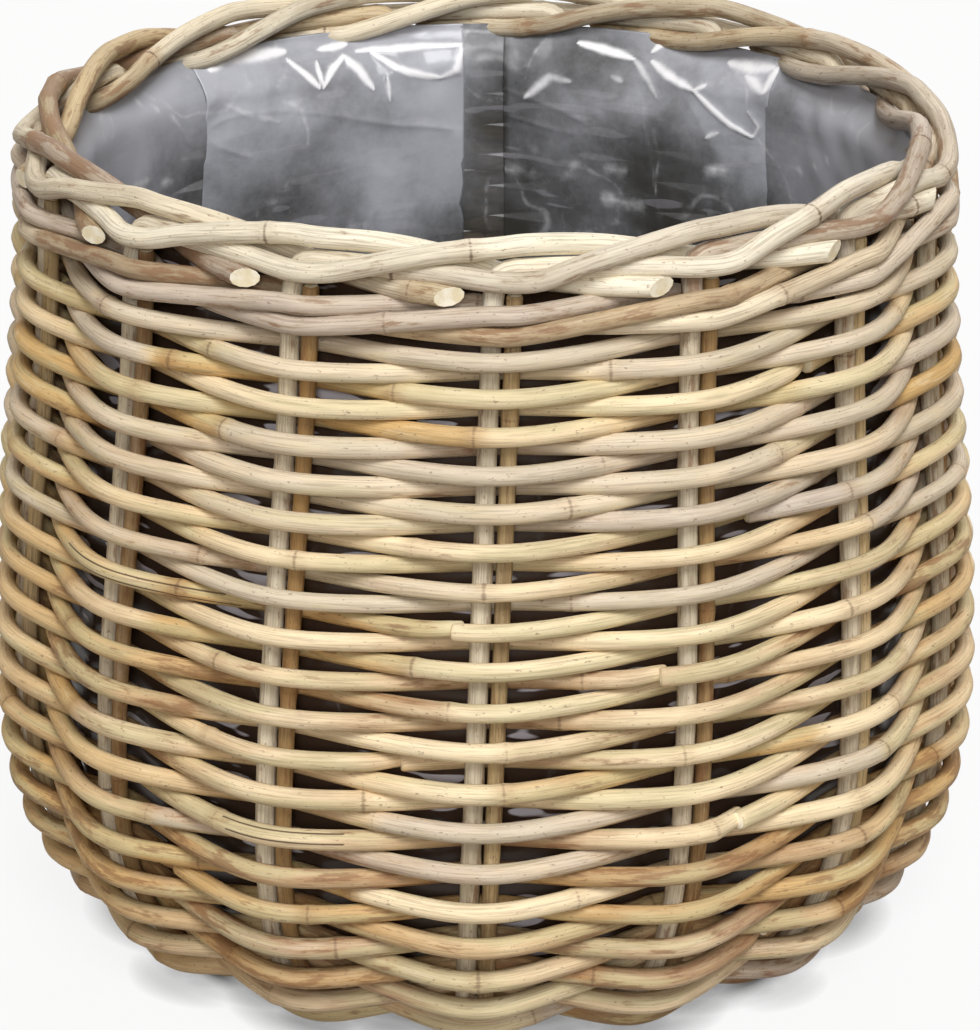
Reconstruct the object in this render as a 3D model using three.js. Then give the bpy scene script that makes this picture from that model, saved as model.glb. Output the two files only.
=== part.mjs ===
import * as THREE from 'three';

// Round planter basket: woven rattan rods on paired stakes, a rolled border and a film liner.
// Millimetres, +Z up, the front faces -Y, and the foot stands on z = 0.

// Overall size.
const HEIGHT = 337;
const BELLY_DIAMETER = 410;
const BELLY_HEIGHT = 106;
const RIM_RADIUS = 178;
const BORDER_INSET = 3;
const FOOT_RADIUS = 141;
const CROWN_INSET = 8;
const BASE_CROWN = 6;

// Rods, and the gaps left between rods that touch.
const PAIRS = 15;
const MAIN_RADIUS = 3.6;
const BYE_RADIUS = 3.0;
const ARM_RADIUS = 3.5;
const WEAVER_FOOT_RADIUS = 4.1;
const WEAVER_TOP_RADIUS = 3.2;
const WEAVE_GAP = 0.8;
const PAIR_GAP = 1.2;
const ROW_GAP = 0.6;
const BUTT_GAP = 1.0;
const LAYER_GAP = 0.6;
const SETTLE = 0.25;
const STRAND_GAP = 0.5;
const END_GAP = 1.0;

// How the stakes stand: the front pair's bearing at the foot, and their lean along the wall.
const FRONT_BEARING = THREE.MathUtils.degToRad(-1.6);
const STAKE_LEAN = THREE.MathUtils.degToRad(2.3);

// The weave.
const FIRST_ROW_RADIUS = 59;
const FOOT_ROW_INSET = 14;
const WEAVER_RODS = 17;
const WALE_RODS = 3;
const ARM_PAST_FOOT = 5;
const PAIR_CLOSING = 24;
const CREST_SPREAD = 9;
const CREST_CLOSE = 5;
const WALE_SPREAD = 8;
const LONGEST_STEP = 90;

// The liner.
const LINER_WALL = 1.0;
const LINER_GAP = 0.8;

// Where the wall's middle surface lies.
const CROWN_RADIUS = FOOT_RADIUS - CROWN_INSET;
const FOOT_ROW_RADIUS = FOOT_RADIUS - FOOT_ROW_INSET;
const STAKE_REACH = MAIN_RADIUS + WEAVE_GAP;
const FOOT_FLAT = WEAVER_FOOT_RADIUS * Math.cos(Math.PI / 6);
const BASE_Z = STAKE_REACH + WEAVER_FOOT_RADIUS + FOOT_FLAT;
const BELLY_WEAVER = 0.3 * WEAVER_TOP_RADIUS + 0.7 * WEAVER_FOOT_RADIUS;
const BELLY_RADIUS = BELLY_DIAMETER / 2 - STAKE_REACH - 2 * BELLY_WEAVER;
const PAIR_TURN = (2 * Math.PI) / PAIRS;

// One border strand, as places along the rim from its own stake: [pair spacings, widths out, widths up].
// It passes outside the next stake, over the crest, down inside the third and out again to a cut end.
const STRAND_WIDTH = 2 * MAIN_RADIUS + STRAND_GAP;
const CREST_Z = HEIGHT - MAIN_RADIUS;
const STRAND_DROP = 2.06;
const STRAND = [
  [-0.045, 0, -1.36],
  [0.01, 0, -1.08],
  [0.5, 0.13, -1.1],
  [0.75, 0.66, -1.17],
  [1.0, 1.12, -1.17],
  [1.5, 0.78, -0.3],
  [2.0, 0, 0],
  [2.5, -0.68, -0.28],
  [3.0, -1.18, -1.3],
  [3.25, -0.8, -1.85],
  [3.5, 0.33, -STRAND_DROP],
  [3.76, 1.25, -STRAND_DROP],
];
const STRAND_FOOT_Z = CREST_Z - STRAND_DROP * STRAND_WIDTH - MAIN_RADIUS;
const STAKE_TOP_Z = CREST_Z - STRAND_DROP * STRAND_WIDTH;
const BYE_TOP_Z = STRAND_FOOT_Z + 2 * END_GAP;

// The top wale lies between the border and the plain rows.
const WALE_RISE = 1.14 * WEAVER_TOP_RADIUS;
const WALE_Z = STRAND_FOOT_Z - ROW_GAP - WEAVER_TOP_RADIUS - WALE_RISE;
const LAST_ROW_Z = WALE_Z - WALE_RISE - 2 * WEAVER_TOP_RADIUS - ROW_GAP;

// Middle surface of base and wall, from the centre of the base to the rim, as radius and height.
const middle = new THREE.Path();
middle.moveTo(0, BASE_Z + BASE_CROWN);
middle.quadraticCurveTo(CROWN_RADIUS / 2, BASE_Z + BASE_CROWN, CROWN_RADIUS, BASE_Z);
middle.lineTo(FOOT_RADIUS, BASE_Z);
middle.absellipse(
  FOOT_RADIUS, BELLY_HEIGHT,
  BELLY_RADIUS - FOOT_RADIUS, BELLY_HEIGHT - BASE_Z,
  -Math.PI / 2, 0, false,
);
const SHOULDER = (STAKE_TOP_Z - BELLY_HEIGHT) * 0.36;
middle.bezierCurveTo(
  BELLY_RADIUS, BELLY_HEIGHT + SHOULDER,
  RIM_RADIUS, STAKE_TOP_Z - SHOULDER,
  RIM_RADIUS, STAKE_TOP_Z,
);
const WALL_LENGTH = middle.getLength();

function station(s) {
  const t = THREE.MathUtils.clamp(s / WALL_LENGTH, 0.0002, 0.9998);
  const p = middle.getPoint(t);
  const along = middle.getPoint(t + 0.0002).sub(middle.getPoint(t - 0.0002)).normalize();
  return { r: p.x, z: p.y, outR: along.y, outZ: -along.x };
}

function lengthWhere(test) {
  let low = 0;
  let high = WALL_LENGTH;
  for (let i = 0; i < 40; i += 1) {
    const mid = (low + high) / 2;
    if (test(station(mid))) high = mid;
    else low = mid;
  }
  return high;
}

const FOOT_LENGTH = lengthWhere((q) => q.r > FOOT_RADIUS);
const FIRST_ROW = lengthWhere((q) => q.r > FIRST_ROW_RADIUS);
const FOOT_ROW = lengthWhere((q) => q.r > FOOT_ROW_RADIUS);
const LAST_ROW = lengthWhere((q) => q.z > LAST_ROW_Z);
const ARM_END = FOOT_LENGTH + ARM_PAST_FOOT;
const TAIL_START = FOOT_ROW + 2 * WEAVER_FOOT_RADIUS;
const PAIR_CLOSED = FOOT_LENGTH + PAIR_CLOSING;

// The cane thins towards the rim, so the rows close up and lie nearer to the stakes.
function weaverRadius(s) {
  const t = THREE.MathUtils.clamp((s - FOOT_LENGTH) / (LAST_ROW - FOOT_LENGTH), 0, 1);
  return THREE.MathUtils.lerp(WEAVER_FOOT_RADIUS, WEAVER_TOP_RADIUS, t);
}

function crest(s) {
  return STAKE_REACH + weaverRadius(s);
}

// A ring of a rod: arc length s up the wall, a bearing, an offset out of the wall and a sideways shift.
function ring(s, bearing, out, aside = 0) {
  const q = station(s);
  const r = q.r + q.outR * out;
  const turn = bearing + aside / Math.max(r, 1);
  const radial = new THREE.Vector3(Math.sin(turn), -Math.cos(turn), 0);
  const at = radial.clone().multiplyScalar(r).setZ(q.z + q.outZ * out);
  return { at, out: radial.multiplyScalar(q.outR).setZ(q.outZ), radius: weaverRadius(s) };
}

// The last ring of a rod that is cut square across its row.
function cutRing(s, bearing, out, aside) {
  const made = ring(s, bearing, out, aside);
  made.end = new THREE.Vector3(Math.cos(bearing), Math.sin(bearing), 0);
  return made;
}

function rimRing(bearing, out, z) {
  const radial = new THREE.Vector3(Math.sin(bearing), -Math.cos(bearing), 0);
  return { at: radial.clone().multiplyScalar(RIM_RADIUS - BORDER_INSET + out).setZ(z), out: radial };
}

function pairBearing(j, s) {
  const lean = (Math.max(s - FOOT_LENGTH, 0) * Math.tan(STAKE_LEAN)) / BELLY_RADIUS;
  return FRONT_BEARING + j * PAIR_TURN + lean;
}

// A solid rod through its rings, with flat cut ends. Without a radius of its own it tapers as the weavers do.
function rod(rings, sides, turn = 0, own = null) {
  const points = [];
  const faces = [];
  rings.forEach(({ at, out, end, radius }, i) => {
    const wide = own || radius;
    const before = rings[Math.max(i - 1, 0)].at;
    const after = rings[Math.min(i + 1, rings.length - 1)].at;
    const back = at.clone().sub(before).normalize();
    const ahead = after.clone().sub(at).normalize();
    const along = end || back.add(ahead).normalize();
    const n = out.clone().addScaledVector(along, -out.dot(along)).normalize();
    const b = along.clone().cross(n);
    for (let k = 0; k < sides; k += 1) {
      const a = turn + (2 * Math.PI * k) / sides;
      const p = at.clone();
      p.addScaledVector(n, wide * Math.cos(a));
      p.addScaledVector(b, wide * Math.sin(a));
      points.push(p.x, p.y, p.z);
    }
  });
  const last = (rings.length - 1) * sides;
  for (let i = 0; i < last; i += sides) {
    for (let k = 0; k < sides; k += 1) {
      const next = (k + 1) % sides;
      faces.push(i + k, i + next, i + sides + next);
      faces.push(i + k, i + sides + next, i + sides + k);
    }
  }
  for (let k = 1; k < sides - 1; k += 1) {
    faces.push(0, k + 1, k);
    faces.push(last, last + k, last + k + 1);
  }
  const geometry = new THREE.BufferGeometry();
  geometry.setAttribute('position', new THREE.Float32BufferAttribute(points, 3));
  geometry.setIndex(faces);
  geometry.computeVertexNormals();
  return geometry;
}

// The foot row is pressed level where it bears on the ground.
function settle(geometry, depth) {
  const points = geometry.getAttribute('position');
  for (let i = 0; i < points.count; i += 1) {
    if (points.getZ(i) < depth) points.setZ(i, 0);
  }
  return geometry;
}

const group = new THREE.Group();
group.name = 'planter_basket';

function add(name, geometry, color, roughness, extra = {}) {
  const material = new THREE.MeshStandardMaterial({ color, roughness, metalness: 0, ...extra });
  const mesh = new THREE.Mesh(geometry, material);
  mesh.name = name;
  group.add(mesh);
}

const number = (i) => String(i + 1).padStart(2, '0');

// How far the middle surface bulges from a straight step between two arc lengths.
function bulge(a, b) {
  const p = station(a);
  const q = station(b);
  const m = station((a + b) / 2);
  return Math.hypot(m.r - (p.r + q.r) / 2, m.z - (p.z + q.z) / 2);
}

// Stations along the middle surface, close enough that straight steps stay within the sag.
function stations(a, b, sag) {
  const list = [];
  let from = a;
  while (from < b) {
    let to = Math.min(from + LONGEST_STEP, b);
    while (bulge(from, to) > sag) to = from + (to - from) * 0.94;
    list.push(to);
    from = to;
  }
  return list;
}

// Sideways place of a stake: beside its base arm on the foot, then close to its partner up the wall.
function stakeAside(s, radius, side) {
  const spread = ARM_RADIUS + radius + PAIR_GAP / 2;
  const close = radius + PAIR_GAP / 2;
  const t = THREE.MathUtils.smoothstep(s, ARM_END, PAIR_CLOSED);
  return side * THREE.MathUtils.lerp(spread, close, t);
}

const STAKE_SAG = WEAVE_GAP * 0.7;
const FOOT_BENDS = [TAIL_START, ARM_END, (ARM_END + PAIR_CLOSED) / 2, PAIR_CLOSED];

function stakeRings(j, radius, side, top) {
  const rings = FOOT_BENDS.map((s) => ring(s, pairBearing(j, s), 0, stakeAside(s, radius, side)));
  stations(PAIR_CLOSED, top, STAKE_SAG).forEach((s) => {
    rings.push(ring(s, pairBearing(j, s), 0, stakeAside(s, radius, side)));
  });
  return rings;
}

// Main stakes rise on the left of each pair and turn over to the right as the border's strands.
const MAIN_TOP = lengthWhere((q) => q.z > STAKE_TOP_Z - END_GAP);
for (let j = 0; j < PAIRS; j += 1) {
  const rings = stakeRings(j, MAIN_RADIUS, -1, MAIN_TOP);
  STRAND.forEach(([ahead, out, up]) => {
    const bearing = pairBearing(j + ahead, MAIN_TOP);
    rings.push(rimRing(bearing, out * STRAND_WIDTH, CREST_Z + up * STRAND_WIDTH));
  });
  add(`main_stake_${number(j)}`, rod(rings, 4, 0, MAIN_RADIUS), 0xc6b597, 0.72);
}

// Bye-stakes stand on the right of each pair and are cut off under the border.
const BYE_TOP = lengthWhere((q) => q.z > BYE_TOP_Z);
for (let j = 0; j < PAIRS; j += 1) {
  const rings = stakeRings(j, BYE_RADIUS, 1, BYE_TOP);
  add(`bye_stake_${number(j)}`, rod(rings, 4, 0, BYE_RADIUS), 0xb08d58, 0.68);
}

// One spiral of weavers, over one pair and under the next. An odd number of pairs makes the rows alternate.
const rows = [FIRST_ROW];
while (rows[rows.length - 1] < LAST_ROW) {
  const s = rows[rows.length - 1];
  rows.push(s + (2 * weaverRadius(s) + ROW_GAP) / PAIRS);
}

function crestHalf(s) {
  const t = THREE.MathUtils.smoothstep(s, ARM_END, PAIR_CLOSED);
  return THREE.MathUtils.lerp(CREST_SPREAD, CREST_CLOSE, t);
}

function weaverRings(from, to, flatOut, flatIn) {
  const rings = [];
  for (let j = from; j <= to; j += 1) {
    const s = rows[j];
    const bearing = pairBearing(j, s);
    const outside = j % 2 === 0;
    const out = outside ? crest(s) : -crest(s);
    const half = (outside ? flatOut : flatIn) ? crestHalf(s) : 0;
    if (j === from) rings.push(cutRing(s, bearing, out, BUTT_GAP / 2));
    else if (half || j < to) rings.push(ring(s, bearing, out, -half));
    if (j === to) rings.push(cutRing(s, bearing, out, -BUTT_GAP / 2));
    else if (half) rings.push(ring(s, bearing, out, half));
  }
  return rings;
}

const FOOT_J = 2 * Math.floor(rows.findIndex((s) => s > FOOT_ROW) / 2) + 1;
const LAST_J = 2 * Math.floor(rows.length / 2) - 3;
const rodStart = (i) => FOOT_J + 2 * Math.round((i * (LAST_J - FOOT_J)) / (2 * WEAVER_RODS));
const STRAW = [0xc9b58c, 0xbfa988, 0xc4ac7c, 0xb9a68b];

add('base_weaver', rod(weaverRings(1, FOOT_J, false, false), 4), 0xb8a27c, 0.75);
for (let i = 0; i < WEAVER_RODS; i += 1) {
  const foot = i === 0;
  const wide = i < 3;
  const rings = weaverRings(rodStart(i), rodStart(i + 1), true, wide);
  const geometry = foot
    ? settle(rod(rings, 6, Math.PI / 6), SETTLE)
    : rod(rings, 4);
  add(`weaver_rod_${number(i)}`, geometry, STRAW[i % STRAW.length], 0.72);
}

// Three wale rods circle the top of the wall, each in front of two pairs and behind one.
const WALE_LENGTH = lengthWhere((q) => q.z > WALE_Z);
const WALE_STROKES = [
  { side: -1, rises: [0.9, -0.9], half: WALE_SPREAD },
  { side: 1, rises: [-1, -1], half: CREST_CLOSE },
  { side: 1, rises: [1, 1], half: CREST_CLOSE },
];
for (let i = 0; i < WALE_RODS; i += 1) {
  const rings = [];
  for (let j = i; j <= i + PAIRS; j += 1) {
    const { side, rises, half } = WALE_STROKES[(j - i) % WALE_RODS];
    rises.forEach((rise, k) => {
      const cut = (j === i && k === 0) || (j === i + PAIRS && k === 1);
      const s = WALE_LENGTH + (cut ? 0 : rise * WALE_RISE);
      const bearing = pairBearing(j, s);
      const out = side * crest(s);
      const right = 2 * k - 1;
      if (cut) rings.push(cutRing(s, bearing, out, (-right * BUTT_GAP) / 2));
      else rings.push(ring(s, bearing, out, right * half));
    });
  }
  add(`wale_rod_${i + 1}`, rod(rings, 4), 0xbba893, 0.74);
}

// Base sticks cross in two layers at the middle and fan out as the arms that the base is woven on.
// Each entry is a bundle place and the arms at its two ends; the half stick has no second arm.
const STICK_STEP = 2 * ARM_RADIUS + LAYER_GAP;
const ARM_INNER = FIRST_ROW_RADIUS - 2 * END_GAP;
const ARM_STATIONS = [ARM_END, CROWN_RADIUS, (CROWN_RADIUS + ARM_INNER) / 2, ARM_INNER];
const STICKS = [
  { layer: -1, place: 1.5, arms: [1, 6] },
  { layer: -1, place: 0.5, arms: [0, 7] },
  { layer: -1, place: -0.5, arms: [null, 8] },
  { layer: -1, place: -1.5, arms: [14, 9] },
  { layer: 1, place: -1.5, arms: [13, 2] },
  { layer: 1, place: -0.5, arms: [12, 3] },
  { layer: 1, place: 0.5, arms: [11, 4] },
  { layer: 1, place: 1.5, arms: [10, 5] },
];
const BUNDLE = 2 * STICK_STEP + ARM_RADIUS;
STICKS.forEach(({ layer, place, arms }, i) => {
  const z = station(0).z + (layer * STICK_STEP) / 2;
  const crossing = [-1, 1].map((end) => {
    const x = layer < 0 ? place * STICK_STEP : end * BUNDLE;
    const y = layer < 0 ? end * BUNDLE : place * STICK_STEP;
    return { at: new THREE.Vector3(x, y, z), out: new THREE.Vector3(0, 0, -1) };
  });
  const arm = (j) => ARM_STATIONS.map((s) => ring(s, pairBearing(j, s), 0));
  const first = arms[0] === null ? [] : arm(arms[0]);
  const rings = [...first, ...crossing, ...arm(arms[1]).reverse()];
  add(`base_stick_${i + 1}`, rod(rings, 4, 0, ARM_RADIUS), 0xb49c76, 0.75);
});

// The film liner follows the inside of the weave and ends under the border.
const LINER_TOP = lengthWhere((q) => q.z > STRAND_FOOT_Z + END_GAP);
const linerStations = [
  0.001,
  ...stations(0.001, FOOT_LENGTH, 2 * LINER_GAP),
  ...stations(FOOT_LENGTH, LINER_TOP, LINER_GAP * 0.7),
];
const linerSide = (wall) => linerStations.map((s) => {
  const q = station(s);
  const offset = -(crest(s) + weaverRadius(s) + LINER_GAP + wall);
  return new THREE.Vector2(Math.max(q.r + q.outR * offset, 0), q.z + q.outZ * offset);
});
const outside = linerSide(0);
const inside = linerSide(LINER_WALL).reverse();
outside[0].x = 0;
inside[inside.length - 1].x = 0;
const liner = new THREE.LatheGeometry([...outside, ...inside], 24).rotateX(Math.PI / 2);
add('liner', liner, 0xb9bec2, 0.25, { transparent: true, opacity: 0.45 });

export default group;
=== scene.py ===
import math
import random

import bpy
import numpy as np
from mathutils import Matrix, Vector, noise


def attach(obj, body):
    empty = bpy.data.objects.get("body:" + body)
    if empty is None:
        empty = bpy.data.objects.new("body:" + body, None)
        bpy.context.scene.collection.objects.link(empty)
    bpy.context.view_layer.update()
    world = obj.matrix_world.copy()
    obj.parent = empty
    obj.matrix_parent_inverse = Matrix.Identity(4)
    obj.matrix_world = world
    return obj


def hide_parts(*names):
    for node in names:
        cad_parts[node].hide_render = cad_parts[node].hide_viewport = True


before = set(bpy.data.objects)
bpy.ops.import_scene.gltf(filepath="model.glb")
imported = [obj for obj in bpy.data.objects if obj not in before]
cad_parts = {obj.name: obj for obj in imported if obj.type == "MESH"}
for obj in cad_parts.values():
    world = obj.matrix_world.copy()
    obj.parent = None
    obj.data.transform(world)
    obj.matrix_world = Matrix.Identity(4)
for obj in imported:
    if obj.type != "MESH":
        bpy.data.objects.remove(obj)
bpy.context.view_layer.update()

# Camera

scene = bpy.context.scene
scene.view_settings.view_transform = "Standard"
lens = bpy.data.cameras.new("photo_camera")
lens.sensor_width = 36
lens.lens = 146.9
camera = bpy.data.objects.new("photo_camera", lens)
camera.location = (0.0019, -1.599, 0.808)
camera.rotation_euler = (math.radians(67.91), 0, 0)
scene.collection.objects.link(camera)
scene.camera = camera

# Basket sizes, in millimetres

HEIGHT, BELLY_DIAMETER, BELLY_HEIGHT = 337.0, 410.0, 106.0
RIM, BORDER_INSET, FOOT, CROWN_EDGE, CROWN = 178.0, 3.0, 141.0, 133.0, 6.0
PAIRS = 15
MAIN, BYE, ARM = 3.6, 3.0, 3.5
WEAVER_FOOT, WEAVER_TOP = 4.1, 3.2
WEAVE_GAP, PAIR_GAP, ROW_GAP, BUTT_GAP, LAYER_GAP, END_GAP = 0.8, 1.2, 0.6, 1.0, 0.6, 1.0
FRONT = math.radians(-1.6)
LEAN = math.tan(math.radians(2.3))
FIRST_ROW_RADIUS, FOOT_ROW_RADIUS = 59.0, 127.0
WEAVER_RODS, WALE_RODS = 17, 3
LINER_GAP = 0.8
SHOULDER_PULL = 0.36
# Past this length along the profile its height only grows.
WALL_START = 140.0
# Where the rim is pressed in: depth in millimetres, bearing and spread in degrees.
RIM_DENTS = [(3.5, 118, 22), (2.0, 246, 25)]

REACH = MAIN + WEAVE_GAP
BASE_Z = REACH + WEAVER_FOOT * (1 + math.cos(math.pi / 6))
BELLY = BELLY_DIAMETER / 2 - REACH - 2 * (0.3 * WEAVER_TOP + 0.7 * WEAVER_FOOT)
PAIR_TURN = 2 * math.pi / PAIRS
STRAND_WIDTH = 2 * MAIN + 0.5
CREST_Z = HEIGHT - MAIN
STRAND_DROP = 2.06
STRAND_FOOT_Z = CREST_Z - STRAND_DROP * STRAND_WIDTH - MAIN
STAKE_TOP_Z = CREST_Z - STRAND_DROP * STRAND_WIDTH
WALE_RISE = 1.14 * WEAVER_TOP
WALE_Z = STRAND_FOOT_Z - ROW_GAP - WEAVER_TOP - WALE_RISE
LAST_ROW_Z = WALE_Z - WALE_RISE - 2 * WEAVER_TOP - ROW_GAP


def wall_profile():
    """Middle surface of base and wall, from the middle of the base to the rim, as radius and height."""
    t = np.linspace(0, 1, 500)[:, None]
    top = BASE_Z + CROWN
    a, b, c = np.array([[0, top], [CROWN_EDGE / 2, top], [CROWN_EDGE, BASE_Z]])
    base = (1 - t) ** 2 * a + 2 * t * (1 - t) * b + t * t * c
    level = c + np.linspace(0, 1, 20)[1:, None] * np.array([FOOT - CROWN_EDGE, 0])
    w = np.linspace(-math.pi / 2, 0, 700)[1:, None]
    drop = BELLY_HEIGHT - BASE_Z
    belly = np.hstack([FOOT + (BELLY - FOOT) * np.cos(w), BELLY_HEIGHT + drop * np.sin(w)])
    k = (STAKE_TOP_Z - BELLY_HEIGHT) * SHOULDER_PULL
    p0, p1 = np.array([BELLY, BELLY_HEIGHT]), np.array([BELLY, BELLY_HEIGHT + k])
    p2, p3 = np.array([RIM, STAKE_TOP_Z - k]), np.array([RIM, STAKE_TOP_Z])
    t = t[1:]
    shoulder = (1 - t) ** 3 * p0 + 3 * t * (1 - t) ** 2 * p1 + 3 * t * t * (1 - t) * p2 + t**3 * p3
    points = np.vstack([base, level, belly, shoulder])
    lengths = np.r_[0, np.cumsum(np.hypot(*np.diff(points, axis=0).T))]
    return points, lengths


PROFILE, PROFILE_S = wall_profile()
PROFILE_TURN = np.gradient(PROFILE, PROFILE_S, axis=0)
PROFILE_TURN /= np.linalg.norm(PROFILE_TURN, axis=1)[:, None]


def station(s):
    """Radius, height and outward direction of the middle surface at arc length s."""
    r, z, ar, az = (np.interp(s, PROFILE_S, v) for v in (*PROFILE.T, *PROFILE_TURN.T))
    return r, z, az, -ar


def length_at_radius(radius):
    return float(PROFILE_S[np.argmax(PROFILE[:, 0] > radius)])


def length_at_height(z):
    wall = PROFILE_S > WALL_START
    return float(np.interp(z, PROFILE[wall, 1], PROFILE_S[wall]))


FOOT_LENGTH = length_at_radius(FOOT)
FIRST_ROW = length_at_radius(FIRST_ROW_RADIUS)
FOOT_ROW = length_at_radius(FOOT_ROW_RADIUS)
LAST_ROW = length_at_height(LAST_ROW_Z)
ARM_END = FOOT_LENGTH + 5
TAIL_START = FOOT_ROW + 2 * WEAVER_FOOT
PAIR_CLOSED = FOOT_LENGTH + 24
MAIN_TOP = length_at_height(STAKE_TOP_Z - END_GAP)
WALL_END = float(PROFILE_S[-1])


def smooth_step(x, low, high):
    t = np.clip((x - low) / (high - low), 0, 1)
    return t * t * (3 - 2 * t)


def weaver_radius(s):
    t = np.clip((s - FOOT_LENGTH) / (LAST_ROW - FOOT_LENGTH), 0, 1)
    return WEAVER_FOOT + (WEAVER_TOP - WEAVER_FOOT) * t


def crest(s):
    return REACH + weaver_radius(s)


def lean(s):
    return np.maximum(s - FOOT_LENGTH, 0) * LEAN / BELLY


def on_wall(s, bearing, out, aside=0.0):
    """Points of the wall at arc length s and a bearing from the front, moved outwards and aside."""
    r, z, out_r, out_z = station(s)
    r = r + out_r * out
    turn = bearing + aside / np.maximum(r, 1)
    return np.stack([r * np.sin(turn), -r * np.cos(turn), z + out_z * out], axis=-1)


def on_rim(bearing, out, z):
    degrees = np.degrees(bearing) % 360
    dent = sum(depth * np.exp(-(((degrees - at) / spread) ** 2)) for depth, at, spread in RIM_DENTS)
    r = RIM - BORDER_INSET + out - dent
    return np.stack([r * np.sin(bearing), -r * np.cos(bearing), z + 0 * r], axis=-1)


# The spiral of weavers: the arc length of each place where it meets a pair of stakes.
rows = [FIRST_ROW]
while rows[-1] < LAST_ROW:
    rows.append(rows[-1] + (2 * weaver_radius(rows[-1]) + ROW_GAP) / PAIRS)
rows = np.array(rows)
FOOT_J = 2 * (int(np.argmax(rows > FOOT_ROW)) // 2) + 1
LAST_J = 2 * (len(rows) // 2) - 3


def rod_start(i):
    return FOOT_J + 2 * math.floor(i * (LAST_J - FOOT_J) / (2 * WEAVER_RODS) + 0.5)


# Laying cane

SIDES = 12
STEP = 3.0
rng = random.Random(41)


def spline(points, each=14):
    """A smooth line through the points, close together where they are close."""
    p = np.asarray(points, float)
    p = np.vstack([2 * p[0] - p[1], p, 2 * p[-1] - p[-2]])
    knots = np.r_[0, np.cumsum(np.sqrt(np.linalg.norm(np.diff(p, axis=0), axis=1)))]
    made = []
    for i in range(1, len(p) - 2):
        t0, t1, t2, t3 = knots[i - 1 : i + 3]
        t = np.linspace(t1, t2, each, endpoint=False)[:, None]
        a1 = (t1 - t) / (t1 - t0) * p[i - 1] + (t - t0) / (t1 - t0) * p[i]
        a2 = (t2 - t) / (t2 - t1) * p[i] + (t - t1) / (t2 - t1) * p[i + 1]
        a3 = (t3 - t) / (t3 - t2) * p[i + 1] + (t - t2) / (t3 - t2) * p[i + 2]
        b1 = (t2 - t) / (t2 - t0) * a1 + (t - t0) / (t2 - t0) * a2
        b2 = (t3 - t) / (t3 - t1) * a2 + (t - t1) / (t3 - t1) * a3
        made.append((t2 - t) / (t2 - t1) * b1 + (t - t1) / (t2 - t1) * b2)
    return np.vstack([*made, p[-2:-1]])


def path_length(path):
    return np.r_[0, np.cumsum(np.linalg.norm(np.diff(path, axis=0), axis=1))]


# Tones of cane as (light, gold, grey): straw, pale, grey buff, golden, brown.
STRAW, PALE, BUFF = (0.58, 0.2, 0.12), (0.88, 0.08, 0.06), (0.62, 0.05, 0.62)
GOLD, BROWN = (0.55, 0.66, 0.0), (0.2, 0.5, 0.2)


def pick_tone(weights):
    light, gold, grey = rng.choices([STRAW, PALE, BUFF, GOLD, BROWN], weights)[0]
    return (
        light + rng.uniform(-0.15, 0.15),
        gold + rng.uniform(-0.08, 0.1),
        grey + rng.uniform(-0.08, 0.12),
    )


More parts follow.
